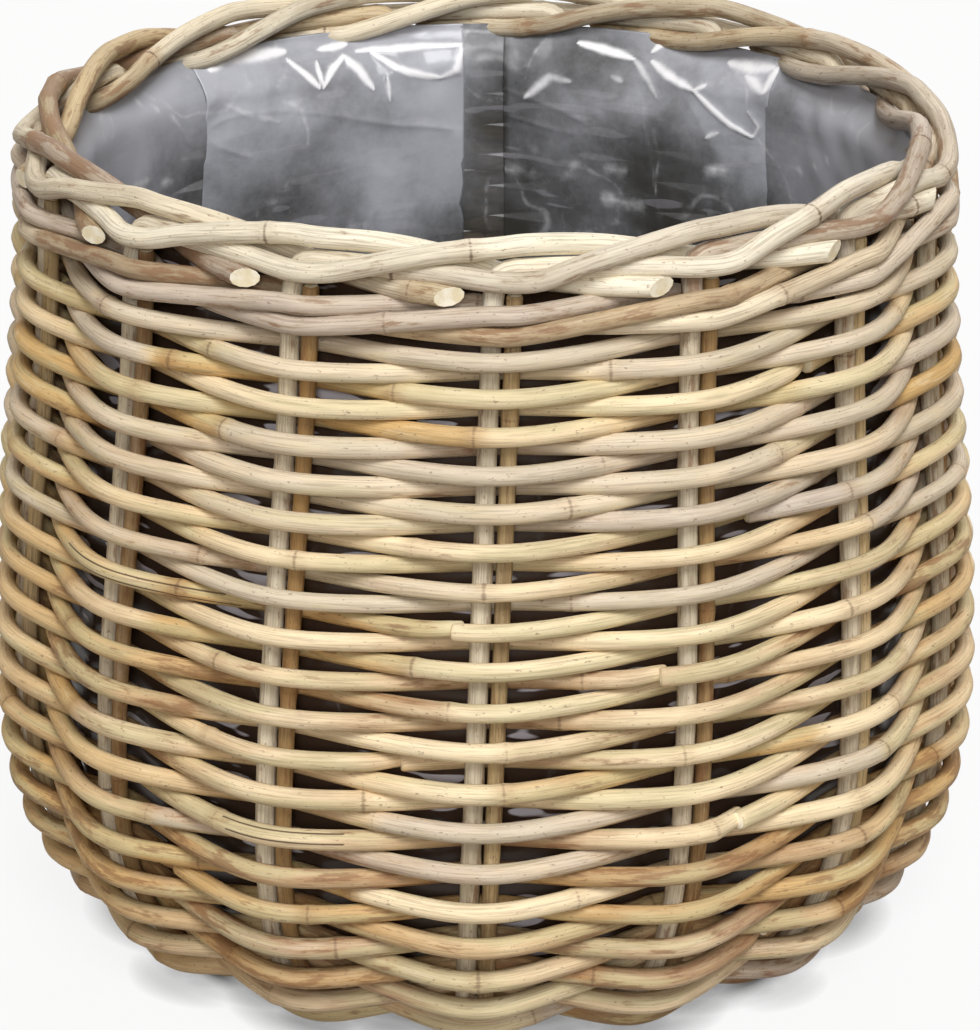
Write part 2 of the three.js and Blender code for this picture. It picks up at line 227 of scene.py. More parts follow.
class Cane:
    """One length of cane along a path: its rings, its joints and the tone of each internode."""

    def __init__(
        self, path, radius, weights, tones=(), marks=(), splits=(),
        blunt=0.82, lift=0.0, pairs=None, base=None,
    ):
        along = path_length(path)
        self.total, self.splits = along[-1], splits
        self.joints = self.place_joints(marks)
        internodes = self.tone_internodes(weights, base or pick_tone(weights))
        self.t = self.place_rings()
        self.path = np.stack([np.interp(self.t, along, path[:, k]) for k in range(3)], axis=-1)
        self.seed = rng.uniform(0, 900)
        self.slow = np.array([noise.noise(Vector((x / 60, self.seed, 0.3))) for x in self.t])
        self.swell(np.interp(self.t, along, np.broadcast_to(radius, along.shape)), blunt)
        self.colour(internodes, tones, lift)
        if pairs:
            self.paint_crest_light_and_side_shade(pairs)

    def place_joints(self, marks):
        """Joints at an uneven step and at the marks, none of them close beside a mark."""
        joints = list(marks)
        at = rng.uniform(20, 120)
        while at < self.total - 6:
            if all(abs(at - x) > 60 for x in marks):
                joints.append(at)
            at += rng.uniform(110, 240)
        return sorted(joints)

    def tone_internodes(self, weights, base):
        """A tone for each length between joints, mostly near the cane's own."""
        made = []
        for _ in range(len(self.joints) + 1):
            tone = [level + rng.gauss(0, spread) for level, spread in zip(base, (0.13, 0.08, 0.08))]
            if rng.random() < 0.22:
                tone = list(pick_tone(weights))
            made.append(tone)
        return np.array(made)

    def place_rings(self):
        """Where the rings stand: at an even step, with more of them at each joint and end."""
        total = self.total
        near = [d + x for d in self.joints for x in (-4, -1.6, -0.25, 0.25, 1.6, 4)]
        near = [x for x in near if 0.5 < x < total - 0.5]
        fixed = np.array(near + [0.35, 1.0, total - 1.0, total - 0.35])
        stops = [*np.arange(0, total, STEP), total]
        even = [x for x in stops if x in (0, total) or np.abs(fixed - x).min() > 0.8]
        return np.unique(np.r_[even, fixed])

    def swell(self, wide, blunt):
        """How thick the cane is, with a swelling at each joint, and how far each ring is from a joint."""
        away = np.abs(self.t[:, None] - np.array(self.joints + [1e9])[None, :])
        d = away.min(axis=1) if self.joints else np.full(len(self.t), 99.0)
        wide = wide * (1 + 0.035 * self.slow) + 0.36 * np.exp(-((d / 2.4) ** 2))
        ends = np.minimum(self.t, self.total - self.t)
        self.radius = wide * (blunt + (1 - blunt) * np.sqrt(np.clip(ends, 0, 1)))
        faint = np.array([rng.uniform(0, 0.75) ** 1.4 for _ in self.joints] + [0.0])
        self.joint = d + faint[away.argmin(axis=1)]

    def colour(self, internodes, tones, lift):
        """The tone of each ring, blended over a few millimetres where it changes."""
        t = self.t
        drift = 0.06 * self.slow[:, None] * np.array([1, 0.4, -0.4])
        tint = internodes[np.searchsorted(self.joints, t)] + drift
        for low, high, tone in tones:
            inside = (t >= low) & (t <= high)
            tint[inside] = np.array(tone) + 0.05 * self.slow[inside][:, None]
        even = np.arange(0, self.total + 1, 1.0)
        soft = [np.pad(np.interp(even, t, tint[:, k]), 5, mode="edge") for k in range(3)]
        soft = [np.convolve(x, np.ones(11) / 11, "valid") for x in soft]
        self.tint = np.stack([np.interp(t, even, x) for x in soft], axis=-1) + np.array([lift, 0, 0])

    def paint_crest_light_and_side_shade(self, pairs):
        """Paints light and shade on the cane: lighter where it stands out from the wall, darker and more
        golden where it goes in behind, and darker and more golden at the basket's left and right sides.
        """
        at = np.interp(self.t, [0, self.total], pairs)
        # Painted light on the outer crests, painted shade where the cane goes in behind the stakes.
        self.tint += np.cos(math.pi * at)[:, None] * np.array([0.18, -0.1, 0.02])
        # Painted shade, darker and more golden, at the basket's left and right sides, more on the left.
        bearing = np.degrees(FRONT) + 360 / PAIRS * at
        left, right = (np.exp(-((((bearing + x + 180) % 360 - 180) / 40) ** 2)) for x in (75, -75))
        self.tint += (left + 0.6 * right)[:, None] * np.array([-0.2, 0.6, -0.1])


def split_sides(cane, ring):
    """Marks the side of each ring that a lengthwise split runs along."""
    cracks = np.zeros(ring.shape[:2])
    for low, high, tilt in cane.splits:
        level = cane.path[:, :2]
        outward = np.c_[level / np.linalg.norm(level, axis=1)[:, None], np.full(len(ring), tilt)]
        side = (ring * outward[:, None]).sum(axis=2).argmax(axis=1)
        inside = np.flatnonzero((cane.t > low) & (cane.t < high))
        cracks[inside, side[inside]] = 1
    return cracks.ravel()


def keep_cane_marks(mesh, canes):
    """Keeps each cane's own coordinates, tones, joints and splits on the mesh, for its finish to read."""
    co = np.empty(len(mesh.vertices) * 3)
    mesh.vertices.foreach_get("co", co)
    rings = co.reshape(-1, SIDES, 3) * 1000
    turn = np.arange(SIDES) * 2 * math.pi / SIDES
    grain, tint, joint, split = [], [], [], []
    for cane in canes:
        n = len(cane.t)
        ring, rings = rings[:n] - cane.path[:, None], rings[n:]
        flat = np.empty((n, SIDES, 3))
        flat[:, :, 0] = (cane.t + cane.seed * 7)[:, None]
        flat[:, :, 1] = cane.radius[:, None] * np.cos(turn) + cane.seed
        flat[:, :, 2] = cane.radius[:, None] * np.sin(turn) - cane.seed
        grain.append(flat.reshape(-1, 3))
        tint.append(np.repeat(np.c_[cane.tint, np.ones(n)], SIDES, axis=0))
        joint.append(np.repeat(cane.joint, SIDES))
        split.append(split_sides(cane, ring))
    for label, kind, key, values in (
        ("cane", "FLOAT_VECTOR", "vector", np.vstack(grain)),
        ("tint", "FLOAT_COLOR", "color", np.clip(np.vstack(tint), 0, 1)),
        ("joint", "FLOAT", "value", np.concatenate(joint)),
        ("split", "FLOAT", "value", np.concatenate(split)),
    ):
        mesh.attributes.new(label, kind, "POINT").data.foreach_set(key, values.ravel())


def lay_rod(name, canes):
    """Lays lengths of cane as bevelled curves, and makes them one mesh with closed ends."""
    bpy.ops.object.select_all(action="DESELECT")
    bpy.ops.curve.primitive_nurbs_path_add(location=(0, 0, 0))
    rod = bpy.context.object
    curve = rod.data
    curve.splines.clear()
    curve.dimensions = "3D"
    curve.twist_mode = "MINIMUM"
    curve.bevel_depth = 0.001
    curve.bevel_resolution = (SIDES - 4) // 2
    for cane in canes:
        line = curve.splines.new("POLY")
        line.points.add(len(cane.path) - 1)
        line.points.foreach_set("co", np.c_[cane.path * 0.001, np.ones(len(cane.path))].ravel())
        line.points.foreach_set("radius", cane.radius)
        line.use_smooth = True
    bpy.ops.object.convert(target="MESH")
    rod = bpy.context.object
    rod.name = name
    mesh = rod.data
    mesh.name = name
    assert len(mesh.vertices) == SIDES * sum(len(c.path) for c in canes), name
    keep_cane_marks(mesh, canes)
    bpy.ops.object.mode_set(mode="EDIT")
    bpy.ops.mesh.select_all(action="SELECT")
    bpy.ops.mesh.fill_holes(sides=SIDES)
    bpy.ops.mesh.select_all(action="SELECT")
    bpy.ops.mesh.normals_make_consistent(inside=False)
    bpy.ops.object.mode_set(mode="OBJECT")
    bpy.ops.object.shade_smooth_by_angle(angle=math.radians(50))
    return rod


def finish_rod(rod, cane_finish, end_finish, node):
    rod.data.materials.append(cane_finish)
    rod.data.materials.append(end_finish)
    for face in rod.data.polygons:
        if len(face.vertices) > 4:
            face.material_index = 1
    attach(rod, "root")
    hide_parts(node)


def slant_end(rod, cane, outward, slope):
    """Cuts a rod's last end on the slant, so that its pale face looks outwards."""
    mesh = rod.data
    co = np.empty(len(mesh.vertices) * 3)
    mesh.vertices.foreach_get("co", co)
    rings = co.reshape(-1, SIDES, 3)
    way = cane.path[-1] - cane.path[-5]
    way /= np.linalg.norm(way)
    side = outward - way * np.dot(outward, way)
    side /= np.linalg.norm(side)
    for k in range(1, 6):
        back = cane.t[-1] - cane.t[-k]
        centre = rings[-k].mean(axis=0)
        reach = (rings[-k] - centre) @ side
        rings[-k] -= (reach * slope * max(0.0, 1 - back / 9))[:, None] * way
    mesh.vertices.foreach_set("co", rings.ravel())
    mesh.update()


# Finishes


class Wire:
    """A socket of a material's tree. Arithmetic on it adds Math nodes."""

    def __init__(self, tree, socket=None):
        self.tree, self.socket = tree, socket

    def node(self, kind, settings=None, sockets=None, out=0):
        """Any other node: its settings first, then the values or wires of its sockets."""
        made = self.tree.nodes.new(kind)
        for key, value in (settings or {}).items():
            setattr(made, key, value)
        for key, value in (sockets or {}).items():
            if isinstance(value, Wire):
                self.tree.links.new(value.socket, made.inputs[key])
            else:
                made.inputs[key].default_value = value
        return Wire(self.tree, made.outputs[out])

    def maths(self, operation, *terms):
        return self.node("ShaderNodeMath", {"operation": operation}, dict(enumerate(terms)))

    def __add__(self, other):
        return self.maths("ADD", self, other)

    def __sub__(self, other):
        return self.maths("SUBTRACT", self, other)

    def __rsub__(self, other):
        return self.maths("SUBTRACT", other, self)

    def __mul__(self, other):
        return self.maths("MULTIPLY", self, other)

    __radd__, __rmul__ = __add__, __mul__

    def output(self, index):
        """Another output of the node that this wire comes from."""
        return Wire(self.tree, self.socket.node.outputs[index])

    def attribute(self, name, out):
        return self.node("ShaderNodeAttribute", {"attribute_name": name}, out=out)

    def ramp(self, low, high):
        """This value from low to high, smoothly, as 0 to 1."""
        settings = {"interpolation_type": "SMOOTHSTEP"}
        return self.node("ShaderNodeMapRange", settings, {0: self, 1: low, 2: high})

    def cloud(self, scale, detail, rough=0.5):
        """Even noise at this place."""
        sockets = {"Vector": self, "Scale": scale, "Detail": detail, "Roughness": rough}
        return self.node("ShaderNodeTexNoise", None, sockets)

    def noise(self, stretch, detail=3.0, rough=0.55):
        """Noise along this vector, stretched on each axis."""
        vector = self.node("ShaderNodeVectorMath", {"operation": "MULTIPLY"}, {0: self, 1: stretch})
        return vector.cloud(1.0, detail, rough)

    def blend(self, colour_a, colour_b):
        """Mixes two colours by this value."""
        return self.node("ShaderNodeMix", {"data_type": "RGBA"}, {0: self, 6: colour_a, 7: colour_b}, out=2)


def srgb(r, g, b):
    """A colour of 0 to 255 as the linear colour that a shader takes."""
    levels = (c / 255 for c in (r, g, b))
    return tuple(c / 12.92 if c <= 0.04 else ((c + 0.055) / 1.055) ** 2.4 for c in levels) + (1.0,)


def new_finish(name):
    finish = bpy.data.materials.new(name)
    finish.use_nodes = True
    shader = finish.node_tree.nodes["Principled BSDF"]
    return finish, finish.node_tree, shader


def cane_finish(
    name, dark, light, warm=(208, 172, 114), cool=(204, 189, 174), grain=0.46, stain=0.5, olive=0.0
):
    """Cane between a dark and a light tone, with fibres, bruises, specks and a dark ring at each joint."""
    finish, tree, shader = new_finish(name)
    start = Wire(tree)
    cane, tint = start.attribute("cane", 1), start.attribute("tint", 0)
    joint, split = start.attribute("joint", 2), start.attribute("split", 2)
    parts = start.node("ShaderNodeSeparateColor", None, {0: tint})
    lightness, gold, grey = (parts.output(k) for k in range(3))
    fibre = cane.noise((0.045, 1.5, 1.5), 4.0, 0.6)
    streak = cane.noise((0.012, 0.42, 0.42), 3.0)
    patch = cane.noise((0.022, 0.07, 0.07), 3.0)
    worn = cane.noise((0.05, 0.26, 0.26), 4.0, 0.65)
    speck = cane.noise((0.4, 0.9, 0.9), 2.0)
    level = lightness + (streak - 0.5) * 0.55 + (patch - 0.5) * 0.9 + (worn - 0.5) * 0.45
    colour = level.ramp(0.05, 1.0).blend(srgb(*dark), srgb(*light))
    colour = (gold + (patch - 0.5) * 0.5).ramp(0.1, 0.95).blend(colour, srgb(*warm))
    hue = cane.noise((0.014, 0.1, 0.1), 2.0)
    colour = (hue.ramp(0.47, 0.6) * olive).blend(colour, srgb(200, 192, 148))
    colour = (grey + (worn - 0.5) * 0.9).ramp(0.15, 1.0).blend(colour, srgb(*cool))
    peeled = (worn + (lightness - 0.5) * 0.25).ramp(0.58, 0.76)
    colour = (peeled * 0.3).blend(colour, srgb(244, 230, 196))
    bruise = (worn + (lightness - 0.5) * 0.25).ramp(0.45, 0.34)
    colour = (bruise * 0.62).blend(colour, srgb(130, 88, 58))
    colour = ((1 - fibre.ramp(0.34, 0.54)) * grain).blend(colour, srgb(116, 90, 64))
    colour = ((speck + (worn - 0.5) * 0.35).ramp(0.66, 0.73) * 0.5).blend(colour, srgb(104, 64, 40))
    haze = joint.ramp(8.0, 0.8) * (0.12 + gold * 0.4)
    colour = haze.blend(colour, srgb(150, 110, 68))
    ring = (joint + (fibre - 0.5) * 1.5 + (streak - 0.5) * 1.6).ramp(1.1, 0.15)
    colour = (ring * stain).blend(colour, srgb(92, 62, 40))
    # A dark line along each split: painted shade in the crack.
    colour = ((split + (fibre - 0.5) * 0.3).ramp(0.72, 0.94) * 0.9).blend(colour, srgb(62, 40, 27))
    tree.links.new(colour.socket, shader.inputs["Base Color"])
    rough = 0.5 + fibre * 0.3
    tree.links.new(rough.socket, shader.inputs["Roughness"])
    shader.inputs["Specular IOR Level"].default_value = 0.35
    height = fibre * 0.5 + streak * 0.5 - ring * 0.6 + peeled * 0.2
    bump = start.node("ShaderNodeBump", None, {"Strength": 0.35, "Distance": 0.0006, "Height": height})
    tree.links.new(bump.socket, shader.inputs["Normal"])
    return finish


def cut_end_finish():
    finish, tree, shader = new_finish("cane_cut_end")
    start = Wire(tree)
    place = start.node("ShaderNodeTexCoord", None, out=3)
    pores = start.node("ShaderNodeTexVoronoi", None, {"Vector": place, "Scale": 1500.0})
    cloud = place.cloud(220.0, 3.0)
    colour = cloud.ramp(0.35, 0.65).blend(srgb(238, 226, 192), srgb(253, 248, 230))
    colour = (pores.ramp(0.22, 0.05) * 0.35).blend(colour, srgb(168, 134, 84))
    tree.links.new(colour.socket, shader.inputs["Base Color"])
    rough = 0.75 + cloud * 0.15
    tree.links.new(rough.socket, shader.inputs["Roughness"])
    return finish


def film_finish(name, clear, milky, white, least, gleam_part):
    """Film from clear to milky, white at its creases, that hides at least a part of what is behind it. The
    creases' white is partly the film's own whitening and partly a painted highlight, and the pale spots are
    painted glints.
    """
    finish, tree, shader = new_finish(name)
    start = Wire(tree)
    place = start.node("ShaderNodeTexCoord", None, out=3)
    haze, crease = start.attribute("haze", 2), start.attribute("crease", 2)
    cloud, scuff = place.cloud(11.0, 3.0, 0.55), place.cloud(160.0, 3.0)
    mottle, net = place.cloud(48.0, 4.0, 0.7), place.cloud(17.0, 2.0, 0.4)
    milk = (haze + (cloud - 0.5) * 0.5 + (mottle - 0.5) * 0.7).ramp(0.0, 1.0)
    colour = milk.blend(srgb(*clear), srgb(*milky))
    wrinkle = net.maths("ABSOLUTE", net - 0.5).ramp(0.014, 0.0) * mottle.ramp(0.42, 0.7)
    colour = (wrinkle * 0.3).blend(colour, srgb(*white))
    # Pale spots: painted glints of light on the film.
    bright = start.node("ShaderNodeMapping", None, {"Vector": place, "Scale": (30.0, 30.0, 150.0)})
    gleam = bright.cloud(1.0, 1.0)
    colour = (gleam.ramp(0.63, 0.66) * gleam_part).blend(colour, srgb(232, 228, 238))
    # White at the creases: partly the film's own whitening, partly a painted highlight; the glints listed
    # among the creases are painted light.
    colour = (crease + (scuff - 0.5) * 0.5).ramp(0.14, 0.8).blend(colour, srgb(*white))
    tree.links.new(colour.socket, shader.inputs["Base Color"])
    rough = 0.16 + scuff * 0.14
    tree.links.new(rough.socket, shader.inputs["Roughness"])
    alpha = least + haze.ramp(0.0, 0.9) * (0.95 - least) + crease * 0.4
    tree.links.new(alpha.ramp(0.0, 1.0).socket, shader.inputs["Alpha"])
    shader.inputs["IOR"].default_value = 1.5
    shader.inputs["Specular IOR Level"].default_value = 0.25
    return finish


weaver_look = cane_finish(
    "weaver_cane", (158, 118, 83), (245, 226, 189), cool=(202, 190, 177), grain=0.36, olive=0.55
)
stake_look = cane_finish(
    "stake_cane", (156, 140, 114), (247, 240, 219), (208, 184, 140), (200, 185, 173), grain=0.42, stain=0.8
)
bye_look = cane_finish("bye_cane", (114, 91, 60), (210, 186, 140), warm=(170, 134, 84), grain=0.55)
wale_look = cane_finish("wale_cane", (158, 138, 111), (240, 226, 199), cool=(203, 189, 176), grain=0.42)
base_look = cane_finish("base_cane", (104, 82, 58), (172, 148, 112))
end_look = cut_end_finish()
# The film's clear tone is dark grey: painted shade of the basket's dark inside, seen through the film.
film_look = film_finish("liner_film", (68, 69, 66), (178, 180, 188), (240, 240, 243), 0.52, 0.05)
# The film's outer face is dark brown, painted shade of the film lying in shadow behind the weave, with many
# painted glints.
film_outside_shade_look = film_finish("liner_film_outside_painted_shade", (62, 47, 38), (76, 59, 48), (150, 148, 150), 0.5, 0.9)

# Weavers


def wobble(x, seed, size):
    return np.array([noise.noise(Vector((v * 0.63, seed, 1.7))) for v in x]) * size


def weaver_path(start, end, seed):
    """The spiral from one pair number to another: outside at even pairs, inside at odd ones."""
    j = np.arange(start, end + 1e-6, 0.05)
    j[-1] = end
    s = np.interp(j, np.arange(len(rows)), rows)
    out = crest(s) * 0.94 * (np.cos(math.pi * j) + 0.06 * np.cos(3 * math.pi * j))
    s = s + wobble(j, seed, 0.75)
    radius = weaver_radius(s) * (1.01 + 0.18 * smooth_step(s, 350, 425))
    return on_wall(s, FRONT + j * PAIR_TURN + lean(s), out), radius


# How often the base takes each tone, in the order straw, pale, grey buff, golden, brown.
BASE_TONES = (5, 3.2, 2.6, 1.5, 0.6)


def tones_and_shade_at(j):
    """How often the wall takes each tone at this pair, greyer near the rim and browner near the foot, and a
    shift of its lightness: up near the rim, and down near the foot as a painted shade of the lower belly,
    which faces down.
    """
    s = rows[int(min(j, len(rows) - 1))]
    high, low = smooth_step(s, 360, 430), 1 - smooth_step(s, 190, 270)
    middle = np.array([5, 3.4, 2.0, 0.8, 0.5])
    rim = np.array([3.5, 2.5, 4.5, 0.7, 0.2])
    foot = np.array([3.2, 0.9, 2.8, 0.8, 1.7])
    return tuple(middle * (1 - high - low) + rim * high + foot * low), 0.09 + 0.2 * high - 0.36 * low


# Lengths of the spiral that stand out by their tone, from one pair number to another.
RUNS = [
    (688.2, 689.5, GOLD), (689.5, 691.2, (0.8, 0.3, 0.0)),
    (658.6, 659.9, (0.55, 0.8, 0.0)), (659.9, 661.6, (0.7, 0.45, 0.05)),
    (628.6, 630.6, (0.75, 0.0, 0.7)), (598.4, 601.4, (0.85, 0.0, 0.55)),
    (508.4, 509.8, (0.4, 0.55, 0.1)), (509.8, 511.6, (0.9, 0.12, 0.0)),
    (478.3, 479.66, (0.55, 0.6, 0.0)), (479.66, 481.5, (0.97, 0.02, 0.0)),
    (418.6, 420.1, PALE), (388.6, 390.1, (0.85, 0.3, 0.0)), (390.1, 391.7, (0.6, 0.6, 0.0)),
    (298.3, 299.4, (0.5, 0.8, 0.0)), (299.4, 301.3, PALE), (268.5, 270.5, (0.6, 0.5, 0.0)),
]
# Pair numbers where one cane ends and the next begins, and where a joint is plain to see.
SPLICES = [509.82, 465.78, 571.3, 404.6, 346.2, 641.4, 676.7, 283.4, 226.6]
MARKS = [479.66, 659.9, 689.5, 299.4, 390.1, 420.1]
# Lengthwise splits in two canes, by pair number, and how far up the cane each lies.
SPLITS = [(343.8, 344.42, 1.3), (343.84, 344.42, -0.05), (507.7, 508.7, 0.5), (507.8, 508.8, -0.5)]


# At a splice, how far the canes overlap in pairs, and how long and deep the first one is tucked in, in mm.
OVERLAP, TUCK_LENGTH, TUCK_DEPTH = 0.05, 18, 4.2
# How far a rod stops short of the next rod, in pairs.
ROD_END = 0.006


def weaver_cane(low, high, seed, tucked, thick):
    """One cane of the spiral, from one pair number to another, its end tucked in behind the next."""
    path, radius = weaver_path(low, high, seed)
    along = path_length(path)
    if tucked:
        tuck = smooth_step(along, along[-1] - TUCK_LENGTH, along[-1])
        path[:, :2] *= 1 - TUCK_DEPTH * tuck[:, None] / np.linalg.norm(path[:, :2], axis=1)[:, None]
        radius = radius * (1 - 0.12 * tuck)

    def place(j):
        return float(np.interp(j, np.linspace(low, high, len(along)), along))

    tones = [(place(a), place(b), tone) for a, b, tone in RUNS if b > low and a < high]
    marks = [place(j) for j in MARKS if low + 0.1 < j < high - 0.1]
    splits = [(place(a), place(b), tilt) for a, b, tilt in SPLITS if low < a and b < high]
    # The lift lowers the cane's lightness near the foot as a painted shade.
    weights, lift = tones_and_shade_at((low + high) / 2)
    return Cane(path, radius * thick, weights, tones, marks, splits, lift=lift, pairs=(low, high))


def weave():
    base = Cane(*weaver_path(1 + ROD_END, FOOT_J - ROD_END, 3.0), BASE_TONES)
    rod = lay_rod("woven_base_spiral", [base])
    finish_rod(rod, base_look, end_look, "base_weaver")
    hand = random.Random(5)
    for i in range(WEAVER_RODS):
        start, end = rod_start(i) + ROD_END, rod_start(i + 1) - ROD_END
        cuts = [start, *sorted(x for x in SPLICES if start < x < end), end]
        canes = []
        for k, (low, high) in enumerate(zip(cuts, cuts[1:])):
            tucked = high < end
            thick = hand.uniform(0.94, 1.07)
            canes.append(weaver_cane(low, high + OVERLAP * tucked, i * 3.7 + k, tucked, thick))
        rod = lay_rod(f"woven_rod_{i + 1:02d}", canes)
        finish_rod(rod, weaver_look, end_look, f"weaver_rod_{i + 1:02d}")


weave()

# Stakes and border

# A border strand after its stake: pairs ahead, then strand widths outwards and up from the crest.
STRAND = [
    (-0.03, 0, -1.5), (0.03, 0.02, -1.16), (0.12, 0.04, -1.12), (0.46, 0.12, -1.16), (0.76, 0.54, -1.3),
    (0.99, 1.02, -1.44), (1.16, 1.14, -1.32), (1.4, 0.92, -0.72), (1.67, 0.5, -0.26), (1.98, 0.06, 0.02),
    (2.1, -0.08, 0), (2.45, -0.6, -0.3), (2.78, -0.96, -0.95), (3.04, -1.0, -1.62), (3.28, -0.56, -2.0),
    (3.5, 0.32, -STRAND_DROP), (3.74, 1.25, -STRAND_DROP),
]
# Between these places a strand lies loose, and the pairs ahead at which it is cut.
LOOSE_FROM, LOOSE_TO, CUT_AHEAD = 0.9, 3.1, 3.76
# The tone of each stake in the border, from the front round to the right, the 10th and 11th darker as a
# painted shade at the left of the rim; then the tone of all of them in the wall, darker as a painted shade of
# the stakes lying between the weavers.
STAKE_TONES_AND_SHADE = [
    (0.72, 0.1, 0.35), (0.56, 0.1, 0.55), (0.5, 0.2, 0.42), (0.36, 0.4, 0.3), (0.52, 0.42, 0.15),
    (0.7, 0.32, 0.12), (0.76, 0.25, 0.12), (0.52, 0.48, 0.1), (0.32, 0.55, 0.15), (0.06, 0.4, 0.3),
    (0.1, 0.28, 0.45), (0.4, 0.3, 0.25), (0.8, 0.2, 0.05), (0.86, 0.1, 0.1), (0.82, 0.05, 0.25),
]
WALL_STAKE_SHADE_TONE = (0.5, 0.25, 0.15)


def stake_aside(s, radius, side):
    spread, close = ARM + radius + PAIR_GAP / 2, radius + PAIR_GAP / 2
    return side * (spread + (close - spread) * smooth_step(s, ARM_END, PAIR_CLOSED))


def stake_line(j, radius, side, top):
    s = np.linspace(TAIL_START, top, 40)
    out = wobble(s / 30, j * 2.3 + side, 0.35)
    return on_wall(s, FRONT + j * PAIR_TURN + lean(s), out, stake_aside(s, radius, side))


def strand_line(j, hand):
    """The strand of the border that a stake becomes, a little uneven where it lies loose."""
    line = []
    drift = hand.uniform(-0.1, 0.1)
    for ahead, out, up in STRAND:
        loose = LOOSE_FROM < ahead < LOOSE_TO
        bearing = FRONT + (j + ahead + drift * loose) * PAIR_TURN + lean(MAIN_TOP)
        out += hand.uniform(-0.07, 0.07) * loose
        up += hand.uniform(-0.07, 0.07) * loose
        line.append(on_rim(np.array(bearing), out * STRAND_WIDTH, CREST_Z + up * STRAND_WIDTH))
    return line


def stand_stakes():
    hand = random.Random(7)
    for j in range(PAIRS):
        path = spline([*stake_line(j, MAIN, -1, MAIN_TOP - 6), *strand_line(j, hand)], 6)
        radius = MAIN * (1.04 + 0.09 * smooth_step(path[:, 2], 300, 322))
        cane = Cane(path, radius, (5, 2, 3, 0.8, 0.5), blunt=0.95, base=STAKE_TONES_AND_SHADE[j])
        # Below the border each stake turns towards the wall tone: painted shade of the stake between the
        # weavers.
        below = (1 - smooth_step(cane.path[:, 2], 285, 310))[:, None]
        cane.tint += below * (np.array(WALL_STAKE_SHADE_TONE) - cane.tint) * 0.75
        rod = lay_rod(f"stake_and_border_{j + 1:02d}", [cane])
        bearing = FRONT + (j + CUT_AHEAD) * PAIR_TURN + lean(MAIN_TOP)
        slant_end(rod, cane, np.array([math.sin(bearing), -math.cos(bearing), -0.2]), 1.1)
        finish_rod(rod, stake_look, end_look, f"main_stake_{j + 1:02d}")
    bye_top = length_at_height(STRAND_FOOT_Z + 2 * END_GAP)
    for j in range(PAIRS):
        cane = Cane(stake_line(j, BYE, 1, bye_top), BYE * 1.03, (3.5, 1, 0.8, 3, 1.5))
        rod = lay_rod(f"bye_stake_cane_{j + 1:02d}", [cane])
        finish_rod(rod, bye_look, end_look, f"bye_stake_{j + 1:02d}")


stand_stakes()

# Wale under the border

# At each pair in turn: inside or outside, the rises left and right of it, and how far aside these are, in mm.
WALE_STROKES = [(-1, (0.9, -0.9), 8.0), (1, (-1, -1), 5.0), (1, (1.15, 1.15), 5.0)]


def lay_wale():
    level = length_at_height(WALE_Z)
    for i in range(WALE_RODS):
        line = []
        for j in range(i, i + PAIRS + 1):
            side, rises, half = WALE_STROKES[(j - i) % WALE_RODS]
            for k, rise in enumerate(rises):
                right = 2 * k - 1
                cut = (j == i and k == 0) or (j == i + PAIRS and k == 1)
                s = level + (0 if cut else rise * WALE_RISE)
                aside = -right * BUTT_GAP / 2 if cut else right * half
                bearing = FRONT + j * PAIR_TURN + lean(s)
                line.append(on_wall(np.array(s), bearing, side * crest(s), aside))
        cane = Cane(spline(line), WEAVER_TOP * 1.15, (4, 1.5, 4.5, 0.4, 0.2))
        rod = lay_rod(f"wale_cane_{i + 1}", [cane])
        finish_rod(rod, wale_look, end_look, f"wale_rod_{i + 1}")


lay_wale()

# Base sticks

# Each stick's layer, its place in the bundle, and the pairs that its two arms run to.
STICKS = [
    (-1, 1.5, (1, 6)), (-1, 0.5, (0, 7)), (-1, -0.5, (None, 8)), (-1, -1.5, (14, 9)),
    (1, -1.5, (13, 2)), (1, -0.5, (12, 3)), (1, 0.5, (11, 4)), (1, 1.5, (10, 5)),
]


def base_arm(j):
    """The line of a base stick from a pair of stakes in towards the middle."""
    inner = FIRST_ROW_RADIUS - 2 * END_GAP
    places = (ARM_END, CROWN_EDGE, (CROWN_EDGE + inner) / 2, inner)
    return [on_wall(np.array(s), FRONT + j * PAIR_TURN + lean(s), 0.0) for s in places]


def cross_sticks():
    pitch = 2 * ARM + LAYER_GAP
    bundle = 2 * pitch + ARM
    middle = float(station(0.0)[1])
    for i, (layer, place, (first, last)) in enumerate(STICKS):
        z = middle + layer * pitch / 2
        cross = [(place * pitch, end * bundle, z) for end in (-1, 1)]
        if layer > 0:
            cross = [(y, x, z) for x, y, z in cross]
        line = [*([] if first is None else base_arm(first)), *cross, *base_arm(last)[::-1]]
        rod = lay_rod(f"base_cane_{i + 1}", [Cane(spline(line), ARM, BASE_TONES)])
        finish_rod(rod, base_look, end_look, f"base_stick_{i + 1}")


cross_sticks()

# Film liner


def ridge(u, v, size, seed, power):
    """Sharp crease lines in a field of noise."""
    n = noise.noise(Vector((u / size, v / size, seed)))
    return (1 - min(1.0, abs(n) * 1.6)) ** power


FILM_TOP = WALL_END + 2.5


def crumple(u, v, seed):
    """Flat facets between straight creases, as thin film takes when it is handled, from 0 to about 1."""
    total = 0.0
    for slant, size, part in ((20, 37, 0.4), (-38, 27, 0.3), (78, 41, 0.2), (-75, 17, 0.1)):
        a = math.radians(slant)
        sway = 0.9 * noise.noise(Vector((u / 55, v / 55, seed + slant)))
        x = (u * math.cos(a) + v * math.sin(a)) / size + sway
        total += part * abs(x - round(x)) * 2
    return total


